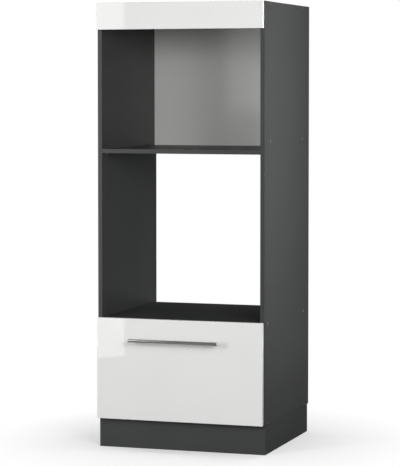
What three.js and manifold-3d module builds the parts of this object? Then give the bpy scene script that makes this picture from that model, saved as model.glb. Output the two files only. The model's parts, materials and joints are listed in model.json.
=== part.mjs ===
// Tall kitchen housing for a built-in oven and a microwave, with one deep drawer below them.
// Units are millimetres, +Z is up and the fronts face -Y.
// Inside the cabinet group, y = 0 is the carcass's front edge and z = 0 is the floor.

import * as THREE from 'three';
import { mergeVertices } from 'three/addons/utils/BufferGeometryUtils.js';
import Module from 'manifold-3d';

const wasm = await Module();
wasm.setup();

// ---------------------------------------------------------------- driving dimensions

const width = 600;
const carcassDepth = 560;
const boardThickness = 15;
const assemblyGap = 0.25; // between faces that butt together

// Heights, from the floor up
const plinthHeight = 100;
const ovenFloorTop = 453.5;
const ovenNicheHeight = 567;
const microwaveOpening = 409.5;
const fasciaHeight = 92;

// Plinth frame
const plinthSetback = 14.5;

// Back panels, which slide in grooves in the sides
const backThickness = 3;
const backInset = 16; // from the sides' rear edges to the panel's rear face
const grooveDepth = 8;
const grooveClearance = 0.25;

// Fronts
const frontThickness = 16;
const frontGap = 1.5; // behind the fronts, taken up by the bumpers
const frontSideReveal = 2;
const drawerFrontRise = 3; // above the plinth
const drawerFrontDrop = 0.5; // of its top edge below the oven floor's top

// Screws that join the sides to the boards between them
const screwHeadRadius = 5;
const screwHeadThickness = 1.75;
const screwShankRadius = 3.5;
const screwTipRadius = 1.5;
const screwTipLength = 5;
const screwLength = 50;
const screwClearance = 0.3;
const upperScrewFromFront = 70; // the capped shelf holes are on the same lines
const upperScrewFromRear = 90;
const lowerScrewFromFront = 44;
const lowerScrewFromRear = 70;

// Shelf pins, and the capped holes of the shelf's second, higher place
const pinRadius = 2.5;
const pinLength = 16;
const pinDepthInSide = 8;
const pinChamfer = 0.5;
const pinFromFront = 37;
const pinFromRear = 60;
const pinClearance = 0.3;
const raisedShelfOffset = 36.75;
const capHeadRadius = 5;
const capHeadThickness = 1.25;
const capStemRadius = 2.5;
const capStemLength = 9;

// Angle brackets behind the fascia
const bracketThickness = 2;
const bracketLeg = 30;
const bracketHeight = 60;
const bracketHoleRadius = 2.25;
const bracketHoleFromEnd = 12;

// Drawer box
const drawerSideThickness = 12;
const drawerSideHeight = 200;
const drawerSideShorter = 5; // than the runners
const drawerBottomThickness = 3;
const drawerBottomRise = 10; // from the sides' lower edge to the bottom panel
const drawerGrooveDepth = 6;

// Bar handle
const handleLength = 320;
const handleRadius = 6;
const handleChamfer = 0.75;
const handleStandoff = 34; // from the front's face to the bar's axis
const handleFromTop = 72.5; // of the drawer front
const handleOffset = -11; // from the cabinet's middle
const handlePostFromEnd = 32;
const handlePostRadius = 4;
const handleScrewRadius = 2;
const handleScrewHeadRadius = 4;
const handleScrewHeadThickness = 2.5;
const handleScrewThread = 10; // length inside the post
const handleScrewClearance = 0.4;

// Bumpers behind the drawer front
const bumperRadius = 4;
const bumperFromTop = 15;

// Roller runners
const runnerSetback = 2; // behind the carcass's front edge
const runnerRearSpace = 58; // from the runners' rear ends to the carcass's rear edge
const runnerOverlap = 125; // of the two members with the drawer out
const runnerRise = 10; // above the bottom board
const runnerSheet = 1.25;
const runnerLipHeight = 3.5;
const runnerTopPlay = 1.75; // of the drawer member under the channel's top
const runnerSidePlay = 0.5; // between the two members
const runnerScrewHoleRadius = 2.25;
const runnerScrewHoleFromEnd = 60;
const drawerRunnerRise = 3; // of the drawer member's lower flange above the channel
const stopHeight = 3;
const stopLength = 4;

// Nylon rollers and the rivets that they turn on
const rollerRadius = 11;
const rollerWidth = 6.5;
const rollerChamfer = 0.75;
const rollerFromRunnerEnd = 16;
const rollerRunClearance = 0.25;
const cabinetRollerFromWeb = 0.75;
const rivetRadius = 2.5;
const rivetHeadRadius = 4.5;
const rivetHeadThickness = 0.75;
const rivetClearance = 0.3;
const rivetHeadFromWeb = 0.45;

// How finely round pieces are drawn
const roundSides = 16;
const rollerSides = 32;

// ---------------------------------------------------------------- places worked out from them

const innerHalfWidth = width / 2 - boardThickness;
const height = ovenFloorTop + ovenNicheHeight + boardThickness + microwaveOpening + fasciaHeight;
const carcassBottom = plinthHeight + assemblyGap;
const boardHalfWidth = innerHalfWidth - assemblyGap;
const backFace = carcassDepth - backInset - backThickness; // the back panels' front face
const boardDepth = backFace - grooveClearance;
const upperScrewYs = [upperScrewFromFront, carcassDepth - upperScrewFromRear];
const lowerScrewYs = [lowerScrewFromFront, carcassDepth - lowerScrewFromRear];
const pinYs = [pinFromFront, carcassDepth - pinFromRear];

const bottomBoardTop = carcassBottom + boardThickness;
const shelfUnderside = ovenFloorTop + ovenNicheHeight;
const pinHeight = shelfUnderside - assemblyGap - pinRadius;
const raisedShelfCentre = shelfUnderside + boardThickness / 2 + raisedShelfOffset;
const topBoardUnderside = height - boardThickness;

const frontBack = -frontGap; // the fronts' rear face
const frontFace = frontBack - frontThickness;
const frontHalfWidth = width / 2 - frontSideReveal;
const drawerFrontBottom = plinthHeight + drawerFrontRise;
const drawerFrontTop = ovenFloorTop - drawerFrontDrop;

const handleAxisY = frontFace - handleStandoff;
const handleHeight = drawerFrontTop - handleFromTop;
const frontmost = handleAxisY - handleRadius;

const runnerBase = bottomBoardTop + runnerRise;
const runnerFront = runnerSetback;
const runnerRear = carcassDepth - runnerRearSpace;
const runnerLength = runnerRear - runnerFront;
const drawerTravel = runnerLength - runnerOverlap;

// Distances across, from a side's inner face
const channelWeb = assemblyGap + runnerSheet;
const cabinetRollerFromSide = channelWeb + cabinetRollerFromWeb;
const drawerRivetHead = channelWeb + rivetHeadFromWeb;
const drawerRollerFromSide = drawerRivetHead + rivetHeadThickness + rivetClearance;
const channelLip = drawerRollerFromSide + rollerWidth + rollerRunClearance;
const channelReach = channelLip + runnerSheet;
const drawerSideClearance = channelReach + runnerSidePlay + runnerSheet + assemblyGap;

const drawerBoxHalfWidth = innerHalfWidth - drawerSideClearance;
const drawerInnerHalfWidth = drawerBoxHalfWidth - drawerSideThickness;
const drawerSideBottom = runnerBase + drawerRunnerRise + runnerSheet + assemblyGap;
const drawerSideTop = drawerSideBottom + drawerSideHeight;
const drawerBoxFront = frontBack + assemblyGap;
const drawerBoxRear = drawerBoxFront + runnerLength - drawerSideShorter;
const drawerBottomUnderside = drawerSideBottom + drawerBottomRise;

const cabinetRollerZ = runnerBase + runnerLipHeight + rollerRadius;
const cabinetRollerY = runnerFront + rollerFromRunnerEnd;
const drawerRollerZ = runnerBase + runnerSheet + rollerRunClearance + rollerRadius;
const drawerRollerY = runnerRear - rollerFromRunnerEnd;
const drawerFlangeUnderside = cabinetRollerZ + rollerRadius + rollerRunClearance;
const drawerFlangeTop = drawerFlangeUnderside + runnerSheet;
const channelTop = drawerFlangeTop + runnerTopPlay + runnerSheet;

// ---------------------------------------------------------------- materials

const paint = (color, roughness, metalness = 0) =>
  new THREE.MeshStandardMaterial({ color, roughness, metalness });

const anthraciteBoard = paint(0x4a4d4b, 0.5);
const whiteGloss = paint(0xeeeeec, 0.08);
const greyHardboard = paint(0xa4a6a3, 0.45);
const greyBoard = paint(0xb9bbb9, 0.5);
const zincScrew = paint(0xb4b6b8, 0.35, 1);
const polishedSteel = paint(0xc6c6c4, 0.16, 1);
const runnerEnamel = paint(0xd9dad8, 0.4, 0.2);
const nylon = paint(0xe8e8e2, 0.55);
const greyPlastic = paint(0xa8aaa9, 0.5);
const clearRubber = paint(0xdcdcd6, 0.4);

// ---------------------------------------------------------------- making solids

const vec = (x, y, z) => new THREE.Vector3(x, y, z);
const SIDES = [
  { side: 'left', sign: -1 },
  { side: 'right', sign: 1 },
];

// A closed geometry as a solid for cutting and joining
function toSolid(geometry) {
  const bare = new THREE.BufferGeometry();
  bare.setAttribute('position', geometry.getAttribute('position'));
  if (geometry.index) bare.setIndex(geometry.index);
  const merged = mergeVertices(bare, 1e-4);
  return new wasm.Manifold(
    new wasm.Mesh({
      numProp: 3,
      vertProperties: new Float32Array(merged.attributes.position.array),
      triVerts: new Uint32Array(merged.index.array),
    }),
  );
}

function toGeometry(solid) {
  const { vertProperties, triVerts } = solid.getMesh();
  const indexed = new THREE.BufferGeometry();
  indexed.setAttribute('position', new THREE.BufferAttribute(vertProperties, 3));
  indexed.setIndex(new THREE.BufferAttribute(triVerts, 1));
  const flat = indexed.toNonIndexed();
  flat.computeVertexNormals();
  return flat;
}

function mesh(name, material, geometry, place) {
  const made = new THREE.Mesh(geometry, material);
  made.name = name;
  made.position.copy(place);
  return made;
}

// A geometry less its cuts, all in the cabinet's frame, as a mesh placed at centre
function cutMesh(name, material, base, cuts, centre, joined = []) {
  let solid = toSolid(base);
  for (const piece of joined) solid = solid.add(toSolid(piece));
  for (const cut of cuts) solid = solid.subtract(toSolid(cut));
  const geometry = toGeometry(solid).translate(-centre.x, -centre.y, -centre.z);
  return mesh(name, material, geometry, centre);
}

// The box between two opposite corners
function boxBetween(a, b) {
  const size = b.clone().sub(a);
  const centre = a.clone().add(b).multiplyScalar(0.5);
  const box = new THREE.BoxGeometry(Math.abs(size.x), Math.abs(size.y), Math.abs(size.z));
  return box.translate(centre.x, centre.y, centre.z);
}

// A board between two opposite corners, less its cuts
function board(name, material, a, b, cuts = []) {
  const centre = a.clone().add(b).multiplyScalar(0.5);
  return cutMesh(name, material, boxBetween(a, b), cuts, centre);
}

// A bar along X, from x0 to x1
function rodAlongX(radius, x0, x1, y, z, sides = roundSides) {
  const rod = new THREE.CylinderGeometry(radius, radius, Math.abs(x1 - x0), sides);
  return rod.rotateZ(Math.PI / 2).translate((x0 + x1) / 2, y, z);
}

// A bar along Y, from y0 to y1
function rodAlongY(radius, y0, y1, x, z, sides = roundSides) {
  const rod = new THREE.CylinderGeometry(radius, radius, Math.abs(y1 - y0), sides);
  return rod.translate(0, (y0 + y1) / 2, 0).translate(x, 0, z);
}

// A turned piece: each [radius, distance] is a step of its profile along its axis, from 0
function turned(profile, sides = roundSides) {
  const points = profile.map(([radius, along]) => new THREE.Vector2(radius, along));
  return new THREE.LatheGeometry(points, sides);
}

// Turns a piece whose axis is +Y to point from the cabinet's side towards its middle
const pointInwards = (geometry, sign) => geometry.rotateZ((sign * Math.PI) / 2);

// Turns a piece whose axis is +Y to point from the cabinet's middle towards its side
const pointOutwards = (geometry, sign) => geometry.rotateZ((-sign * Math.PI) / 2);

// A sheet-metal section drawn across X and Z, drawn out along Y from y0 to y1
function section(points, y0, y1) {
  const shape = new THREE.Shape(points.map(([x, z]) => new THREE.Vector2(x, z)));
  const drawn = new THREE.ExtrudeGeometry(shape, { depth: y1 - y0, bevelEnabled: false });
  return drawn.rotateX(Math.PI / 2).translate(0, y1, 0);
}

// ---------------------------------------------------------------- screws through the sides

// Each board between the sides, with the height of its middle and the places of its screws
const SCREWED_BOARDS = [
  { board: 'top', z: topBoardUnderside + boardThickness / 2, ys: upperScrewYs },
  { board: 'oven_floor', z: ovenFloorTop - boardThickness / 2, ys: lowerScrewYs },
  { board: 'bottom', z: carcassBottom + boardThickness / 2, ys: lowerScrewYs },
];
const ENDS = ['front', 'rear'];

// The hole that a screw runs in, through the side and into the board's end
function screwHole(sign, y, z) {
  const deepest = width / 2 - screwLength - 1;
  return rodAlongX(screwShankRadius + screwClearance, sign * deepest, sign * (width / 2 + 1), y, z);
}

// The recess for its head
function screwRecess(sign, y, z) {
  const floor = width / 2 - screwHeadThickness - 2 * screwClearance;
  return rodAlongX(screwHeadRadius + screwClearance, sign * floor, sign * (width / 2 + 1), y, z);
}

// The holes in a board's two ends
function boardScrewHoles(name) {
  const { z, ys } = SCREWED_BOARDS.find(({ board: owner }) => owner === name);
  return SIDES.flatMap(({ sign }) => ys.map((y) => screwHole(sign, y, z)));
}

function joiningScrews() {
  const profile = [
    [0, 0],
    [screwHeadRadius, 0],
    [screwHeadRadius, screwHeadThickness],
    [screwShankRadius, screwHeadThickness],
    [screwShankRadius, screwLength - screwTipLength],
    [screwTipRadius, screwLength],
    [0, screwLength],
  ];
  const outerFace = width / 2 - screwClearance;
  return SCREWED_BOARDS.flatMap(({ board: owner, z, ys }) =>
    SIDES.flatMap(({ side, sign }) =>
      ys.map((y, i) =>
        mesh(
          `${owner}_screw_${side}_${ENDS[i]}`,
          zincScrew,
          pointInwards(turned(profile), sign),
          vec(sign * outerFace, y, z),
        ),
      ),
    ),
  );
}

// ---------------------------------------------------------------- shelf pins and hole caps

function pinHoles(sign) {
  const floor = innerHalfWidth + pinDepthInSide + pinClearance;
  return pinYs.map((y) =>
    rodAlongX(pinRadius + pinClearance, sign * (innerHalfWidth - 1), sign * floor, y, pinHeight),
  );
}

function shelfPins() {
  const profile = [
    [0, 0],
    [pinRadius - pinChamfer, 0],
    [pinRadius, pinChamfer],
    [pinRadius, pinLength - pinChamfer],
    [pinRadius - pinChamfer, pinLength],
    [0, pinLength],
  ];
  const innerEnd = innerHalfWidth + pinDepthInSide - pinLength;
  return SIDES.flatMap(({ side, sign }) =>
    pinYs.map((y, i) =>
      mesh(
        `shelf_pin_${side}_${ENDS[i]}`,
        zincScrew,
        pointOutwards(turned(profile), sign),
        vec(sign * innerEnd, y, pinHeight),
      ),
    ),
  );
}

// The holes go right through the sides and are closed from outside
function raisedShelfHoles(sign) {
  return upperScrewYs.flatMap((y) => [
    rodAlongX(
      capStemRadius + pinClearance,
      sign * (innerHalfWidth - 1),
      sign * (width / 2 + 1),
      y,
      raisedShelfCentre,
    ),
    rodAlongX(
      capHeadRadius + pinClearance,
      sign * (width / 2 - capHeadThickness - pinClearance),
      sign * (width / 2 + 1),
      y,
      raisedShelfCentre,
    ),
  ]);
}

function holeCaps() {
  const profile = [
    [0, 0],
    [capHeadRadius, 0],
    [capHeadRadius, capHeadThickness],
    [capStemRadius, capHeadThickness],
    [capStemRadius, capHeadThickness + capStemLength],
    [0, capHeadThickness + capStemLength],
  ];
  return SIDES.flatMap(({ side, sign }) =>
    upperScrewYs.map((y, i) =>
      mesh(
        `shelf_hole_cap_${side}_${ENDS[i]}`,
        greyPlastic,
        pointInwards(turned(profile), sign),
        vec((sign * width) / 2, y, raisedShelfCentre),
      ),
    ),
  );
}

// ---------------------------------------------------------------- carcass boards

// The vertical groove that both back panels slide in
function backGroove(sign) {
  return boxBetween(
    vec(sign * (innerHalfWidth - 1), backFace - grooveClearance, carcassBottom - 1),
    vec(sign * (innerHalfWidth + grooveDepth), backFace + backThickness + grooveClearance, height + 1),
  );
}

function sidePanel({ side, sign }) {
  const holes = SCREWED_BOARDS.flatMap(({ z, ys }) =>
    ys.flatMap((y) => [screwHole(sign, y, z), screwRecess(sign, y, z)]),
  );
  const outer = sign > 0 ? width / 2 : -innerHalfWidth;
  const inner = sign > 0 ? innerHalfWidth : -width / 2;
  return board(
    `side_panel_${side}`,
    anthraciteBoard,
    vec(inner, 0, carcassBottom),
    vec(outer, carcassDepth, height),
    [backGroove(sign), ...holes, ...pinHoles(sign), ...raisedShelfHoles(sign)],
  );
}

// A board between the sides, from its underside up
const betweenSides = (name, underside, cuts = []) =>
  board(
    name,
    anthraciteBoard,
    vec(-boardHalfWidth, 0, underside),
    vec(boardHalfWidth, boardDepth, underside + boardThickness),
    cuts,
  );

const crossBoards = () => [
  betweenSides('top_board', topBoardUnderside, boardScrewHoles('top')),
  betweenSides('microwave_shelf', shelfUnderside),
  betweenSides('oven_floor_board', ovenFloorTop - boardThickness, boardScrewHoles('oven_floor')),
  betweenSides('bottom_board', carcassBottom, boardScrewHoles('bottom')),
];

function backPanel(name, bottom, top) {
  const halfWidth = innerHalfWidth + grooveDepth - 2 * grooveClearance;
  return board(
    name,
    greyHardboard,
    vec(-halfWidth, backFace, bottom),
    vec(halfWidth, backFace + backThickness, top),
  );
}

const backPanels = () => [
  backPanel('upper_back_panel', shelfUnderside, height),
  backPanel('lower_back_panel', carcassBottom, ovenFloorTop),
];

// ---------------------------------------------------------------- plinth frame

function plinth() {
  const front = plinthSetback;
  const rear = carcassDepth - plinthSetback;
  const half = width / 2;
  const across = (name, y) =>
    board(name, anthraciteBoard, vec(-half, y, 0), vec(half, y + boardThickness, plinthHeight));
  const along = ({ side, sign }) => {
    const inner = sign * (half - boardThickness);
    const xs = [inner, sign * half].sort((a, b) => a - b);
    return board(
      `plinth_side_${side}`,
      anthraciteBoard,
      vec(xs[0], front + boardThickness + assemblyGap, 0),
      vec(xs[1], rear - boardThickness - assemblyGap, plinthHeight),
    );
  };
  return [
    across('plinth_front', front),
    across('plinth_rear', rear - boardThickness),
    ...SIDES.map(along),
  ];
}

// ---------------------------------------------------------------- fascia and its brackets

const fasciaPanel = () =>
  board(
    'fascia_panel',
    whiteGloss,
    vec(-frontHalfWidth, frontFace, height - fasciaHeight),
    vec(frontHalfWidth, frontBack, height),
  );

// An angle with one leg on the side and the other behind the fascia, two screw holes in each
function fasciaBracket({ side, sign }) {
  const outer = sign * boardHalfWidth;
  const inner = outer - sign * bracketThickness;
  const reach = outer - sign * bracketLeg;
  const front = frontBack + assemblyGap;
  const rear = front + bracketLeg;
  const top = topBoardUnderside - assemblyGap;
  const bottom = top - bracketHeight;
  const onSide = boxBetween(vec(inner, front, bottom), vec(outer, rear, top));
  const onFascia = boxBetween(vec(reach, front, bottom), vec(outer, front + bracketThickness, top));
  const holes = [bottom + bracketHoleFromEnd, top - bracketHoleFromEnd].flatMap((z) => [
    rodAlongY(bracketHoleRadius, front - 1, front + bracketThickness + 1, (reach + outer) / 2, z),
    rodAlongX(bracketHoleRadius, inner - sign, outer + sign, (front + rear) / 2, z),
  ]);
  const corner = vec(outer, front, bottom);
  return cutMesh(`fascia_bracket_${side}`, zincScrew, onSide, holes, corner, [onFascia]);
}

// ---------------------------------------------------------------- drawer box and front

const drawerPanelSlot = drawerBottomThickness + 2 * grooveClearance;

// The groove for the bottom panel, in a drawer side or the front
const drawerGroove = (a, b) =>
  boxBetween(
    vec(a.x, a.y, drawerBottomUnderside - grooveClearance),
    vec(b.x, b.y, drawerBottomUnderside - grooveClearance + drawerPanelSlot),
  );

const handlePosts = SIDES.map(({ side, sign }) => ({
  side,
  x: handleOffset + sign * (handleLength / 2 - handlePostFromEnd),
}));

function drawerFront() {
  const halfPanel = drawerInnerHalfWidth + drawerGrooveDepth;
  const groove = drawerGroove(
    vec(-halfPanel, frontBack - drawerGrooveDepth, 0),
    vec(halfPanel, frontBack + 1, 0),
  );
  const handleHoles = handlePosts.map(({ x }) =>
    rodAlongY(handleScrewRadius + handleScrewClearance, frontFace - 1, frontBack + 1, x, handleHeight),
  );
  return board(
    'drawer_front',
    whiteGloss,
    vec(-frontHalfWidth, frontFace, drawerFrontBottom),
    vec(frontHalfWidth, frontBack, drawerFrontTop),
    [groove, ...handleHoles],
  );
}

function drawerSide({ side, sign }) {
  const outer = sign * drawerBoxHalfWidth;
  const inner = sign * drawerInnerHalfWidth;
  const groove = drawerGroove(
    vec(inner - sign, drawerBoxFront - 1, 0),
    vec(inner + sign * drawerGrooveDepth, drawerBoxRear + 1, 0),
  );
  return board(
    `drawer_side_${side}`,
    greyBoard,
    vec(Math.min(outer, inner), drawerBoxFront, drawerSideBottom),
    vec(Math.max(outer, inner), drawerBoxRear, drawerSideTop),
    [groove],
  );
}

const drawerBack = () =>
  board(
    'drawer_back',
    greyBoard,
    vec(
      -drawerInnerHalfWidth + assemblyGap,
      drawerBoxRear - drawerSideThickness,
      drawerBottomUnderside + drawerBottomThickness + assemblyGap,
    ),
    vec(drawerInnerHalfWidth - assemblyGap, drawerBoxRear, drawerSideTop),
  );

const drawerBottom = () =>
  board(
    'drawer_bottom',
    greyHardboard,
    vec(
      -drawerInnerHalfWidth - drawerGrooveDepth + 2 * grooveClearance,
      frontBack - drawerGrooveDepth + 2 * grooveClearance,
      drawerBottomUnderside,
    ),
    vec(
      drawerInnerHalfWidth + drawerGrooveDepth - 2 * grooveClearance,
      drawerBoxRear,
      drawerBottomUnderside + drawerBottomThickness,
    ),
  );

function bumpers() {
  const thickness = frontGap - 2 * assemblyGap;
  const x = width / 2 - boardThickness / 2;
  const z = drawerFrontTop - bumperFromTop;
  return SIDES.map(({ side, sign }) =>
    mesh(
      `drawer_bumper_${side}`,
      clearRubber,
      new THREE.CylinderGeometry(bumperRadius, bumperRadius, thickness, roundSides),
      vec(sign * x, frontBack + frontGap / 2, z),
    ),
  );
}

// ---------------------------------------------------------------- bar handle

function handleBar() {
  const profile = [
    [0, 0],
    [handleRadius - handleChamfer, 0],
    [handleRadius, handleChamfer],
    [handleRadius, handleLength - handleChamfer],
    [handleRadius - handleChamfer, handleLength],
    [0, handleLength],
  ];
  const bar = turned(profile, rollerSides).translate(0, -handleLength / 2, 0).rotateZ(Math.PI / 2);
  return mesh('handle_bar', polishedSteel, bar, vec(handleOffset, handleAxisY, handleHeight));
}

// A post butts on the front's face, and its other end is cut to the bar's round
function handlePost({ side, x }) {
  const foot = frontFace - assemblyGap;
  const post = rodAlongY(handlePostRadius, handleAxisY, foot, x, handleHeight);
  const saddle = rodAlongX(
    handleRadius + assemblyGap,
    x - 2 * handlePostRadius,
    x + 2 * handlePostRadius,
    handleAxisY,
    handleHeight,
    rollerSides,
  );
  const thread = rodAlongY(
    handleScrewRadius + handleScrewClearance,
    foot - handleScrewThread - 1,
    foot + 1,
    x,
    handleHeight,
  );
  return cutMesh(
    `handle_post_${side}`,
    polishedSteel,
    post,
    [saddle, thread],
    vec(x, foot, handleHeight),
  );
}

function handleScrew({ side, x }) {
  const headBack = frontBack + assemblyGap + handleScrewHeadThickness;
  const shank = handleScrewHeadThickness + assemblyGap + frontThickness + handleScrewThread;
  const profile = [
    [0, 0],
    [handleScrewHeadRadius, 0],
    [handleScrewHeadRadius, handleScrewHeadThickness],
    [handleScrewRadius, handleScrewHeadThickness],
    [handleScrewRadius, shank],
    [0, shank],
  ];
  return mesh(
    `handle_screw_${side}`,
    zincScrew,
    turned(profile).rotateZ(Math.PI),
    vec(x, headBack, handleHeight),
  );
}

const handle = () => [
  handleBar(),
  ...handlePosts.map(handlePost),
  ...handlePosts.map(handleScrew),
];

// ---------------------------------------------------------------- roller runners

// A distance from the side's inner face as an x, on either side of the cabinet
const fromSide = (sign, distance) => sign * (innerHalfWidth - distance);

// The channel screwed to the side: the drawer's rear roller runs in it
function cabinetRunner({ side, sign }) {
  const at = (distance, z) => [fromSide(sign, distance), z];
  const channel = section(
    [
      at(assemblyGap, runnerBase),
      at(channelReach, runnerBase),
      at(channelReach, runnerBase + runnerLipHeight),
      at(channelLip, runnerBase + runnerLipHeight),
      at(channelLip, runnerBase + runnerSheet),
      at(channelWeb, runnerBase + runnerSheet),
      at(channelWeb, channelTop - runnerSheet),
      at(channelReach, channelTop - runnerSheet),
      at(channelReach, channelTop),
      at(assemblyGap, channelTop),
    ],
    runnerFront,
    runnerRear,
  );
  const corner = vec(fromSide(sign, assemblyGap), runnerFront, runnerBase);
  const name = `cabinet_runner_${side}`;
  return cutMesh(name, runnerEnamel, channel, runnerHoles(sign), corner, rollerStops(sign));
}

// Holes through the channel's web for its screws and for its roller's rivet
function runnerHoles(sign) {
  const hole = (radius, y, z) =>
    rodAlongX(radius, fromSide(sign, 0), fromSide(sign, channelWeb + runnerSheet), y, z);
  const screwYs = [
    runnerFront + runnerScrewHoleFromEnd,
    (runnerFront + runnerRear) / 2,
    runnerRear - runnerScrewHoleFromEnd,
  ];
  const screwZ = (runnerBase + channelTop) / 2;
  return [
    ...screwYs.map((y) => hole(runnerScrewHoleRadius, y, screwZ)),
    hole(rivetRadius + rivetClearance, cabinetRollerY, cabinetRollerZ),
  ];
}

// The drawer's roller stops against a low ridge when it is out, and against a tab when it is in
function rollerStops(sign) {
  const into = runnerSheet / 2; // how far a stop reaches into the sheet that it joins
  const stop = (y0, y1, top) =>
    boxBetween(
      vec(fromSide(sign, channelWeb - into), y0, runnerBase + into),
      vec(fromSide(sign, channelLip + into), y1, top),
    );
  const ridgeTop = runnerBase + runnerSheet + stopHeight;
  const ridgeReach = Math.sqrt(rollerRadius ** 2 - (drawerRollerZ - ridgeTop) ** 2);
  const ridgeRear = drawerRollerY - drawerTravel - ridgeReach - rollerRunClearance;
  return [
    stop(ridgeRear - stopLength, ridgeRear, ridgeTop),
    stop(runnerRear - runnerSheet, runnerRear, drawerRollerZ),
  ];
}

// The member under the drawer's side: its top flange rides on the cabinet's roller
function drawerRunner({ side, sign }) {
  const webInner = drawerSideClearance - assemblyGap;
  const webOuter = webInner - runnerSheet;
  const underSide = drawerSideClearance + drawerSideThickness;
  const lowerFlange = runnerBase + drawerRunnerRise;
  const at = (distance, z) => [fromSide(sign, distance), z];
  const angle = section(
    [
      at(drawerRollerFromSide, drawerFlangeUnderside),
      at(webOuter, drawerFlangeUnderside),
      at(webOuter, lowerFlange),
      at(underSide, lowerFlange),
      at(underSide, lowerFlange + runnerSheet),
      at(webInner, lowerFlange + runnerSheet),
      at(webInner, drawerFlangeTop),
      at(drawerRollerFromSide, drawerFlangeTop),
    ],
    drawerBoxFront,
    drawerBoxRear,
  );
  const rivetHole = rodAlongX(
    rivetRadius + rivetClearance,
    fromSide(sign, webOuter - 1),
    fromSide(sign, webInner + 1),
    drawerRollerY,
    drawerRollerZ,
  );
  const corner = vec(fromSide(sign, webInner), drawerBoxFront, lowerFlange);
  return cutMesh(`drawer_runner_${side}`, runnerEnamel, angle, [rivetHole], corner);
}

// A bored roller, centred on the origin with its axis along X
function rollerGeometry() {
  const half = rollerWidth / 2;
  const bore = rivetRadius + rivetClearance;
  const profile = [
    [bore, -half],
    [rollerRadius - rollerChamfer, -half],
    [rollerRadius, -half + rollerChamfer],
    [rollerRadius, half - rollerChamfer],
    [rollerRadius - rollerChamfer, half],
    [bore, half],
    [bore, -half],
  ];
  return turned(profile, rollerSides).rotateZ(Math.PI / 2);
}

// Along X, a roller's rivet has its head at `head` and its plain end at `end`
function rivet(name, sign, head, end, y, z) {
  const length = Math.abs(end - head);
  const profile = [
    [0, 0],
    [rivetHeadRadius, 0],
    [rivetHeadRadius, rivetHeadThickness],
    [rivetRadius, rivetHeadThickness],
    [rivetRadius, length],
    [0, length],
  ];
  const towardsMiddle = end > head;
  const geometry = towardsMiddle
    ? pointInwards(turned(profile), sign)
    : pointOutwards(turned(profile), sign);
  return mesh(name, zincScrew, geometry, vec(fromSide(sign, head), y, z));
}

function rollersAndRivets({ side, sign }) {
  const rollerAt = (name, distance, y, z) =>
    mesh(name, nylon, rollerGeometry(), vec(fromSide(sign, distance + rollerWidth / 2), y, z));
  const cabinetRivetHead = cabinetRollerFromSide + rollerWidth + rivetClearance + rivetHeadThickness;
  return {
    cabinet: [
      rollerAt(`cabinet_roller_${side}`, cabinetRollerFromSide, cabinetRollerY, cabinetRollerZ),
      rivet(
        `cabinet_roller_rivet_${side}`,
        sign,
        cabinetRivetHead,
        assemblyGap,
        cabinetRollerY,
        cabinetRollerZ,
      ),
    ],
    drawer: [
      rollerAt(`drawer_roller_${side}`, drawerRollerFromSide, drawerRollerY, drawerRollerZ),
      rivet(
        `drawer_roller_rivet_${side}`,
        sign,
        drawerRivetHead,
        drawerSideClearance - assemblyGap,
        drawerRollerY,
        drawerRollerZ,
      ),
    ],
  };
}

// ---------------------------------------------------------------- assembly

const rolling = SIDES.map(rollersAndRivets);

const carcass = new THREE.Group();
carcass.add(
  ...SIDES.map(sidePanel),
  ...crossBoards(),
  ...backPanels(),
  ...plinth(),
  fasciaPanel(),
  ...SIDES.map(fasciaBracket),
  ...joiningScrews(),
  ...shelfPins(),
  ...holeCaps(),
  ...SIDES.map(cabinetRunner),
  ...rolling.flatMap(({ cabinet: parts }) => parts),
);

const drawer = new THREE.Group();
drawer.add(
  drawerFront(),
  ...SIDES.map(drawerSide),
  drawerBack(),
  drawerBottom(),
  ...bumpers(),
  ...handle(),
  ...SIDES.map(drawerRunner),
  ...rolling.flatMap(({ drawer: parts }) => parts),
);

// The origin is on the floor, under the middle of the cabinet with its handle
const cabinet = new THREE.Group();
cabinet.add(carcass, drawer);
cabinet.position.y = -(carcassDepth + frontmost) / 2;

export default cabinet;
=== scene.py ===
import math
import json

import bmesh
import bpy
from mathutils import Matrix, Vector

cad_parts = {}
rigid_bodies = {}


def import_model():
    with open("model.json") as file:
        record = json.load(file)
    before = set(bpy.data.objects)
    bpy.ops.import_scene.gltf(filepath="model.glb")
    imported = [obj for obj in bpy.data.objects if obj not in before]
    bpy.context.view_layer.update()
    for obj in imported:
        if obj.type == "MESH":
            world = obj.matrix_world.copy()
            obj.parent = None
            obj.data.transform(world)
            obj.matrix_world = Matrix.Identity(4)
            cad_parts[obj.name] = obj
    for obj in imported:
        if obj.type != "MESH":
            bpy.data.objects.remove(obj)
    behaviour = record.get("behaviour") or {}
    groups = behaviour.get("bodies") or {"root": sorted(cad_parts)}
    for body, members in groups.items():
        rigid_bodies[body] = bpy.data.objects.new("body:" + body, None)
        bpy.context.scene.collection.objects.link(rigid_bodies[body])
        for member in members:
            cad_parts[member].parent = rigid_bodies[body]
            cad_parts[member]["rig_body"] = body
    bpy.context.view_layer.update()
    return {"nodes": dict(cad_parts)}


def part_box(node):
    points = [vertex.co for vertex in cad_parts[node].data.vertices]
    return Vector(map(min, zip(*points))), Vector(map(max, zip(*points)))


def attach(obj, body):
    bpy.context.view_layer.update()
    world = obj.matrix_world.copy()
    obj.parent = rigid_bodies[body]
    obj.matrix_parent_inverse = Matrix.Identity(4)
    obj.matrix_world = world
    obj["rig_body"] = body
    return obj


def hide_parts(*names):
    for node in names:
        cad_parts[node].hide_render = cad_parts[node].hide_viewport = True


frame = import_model()

# ------------------------------------------------------------------ plinth frame
# Four anthracite melamine boards, dowelled into a frame that the carcass stands on. Their
# faces carry a fine pearl grain, and their edges on the floor are raw chipboard.

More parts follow.
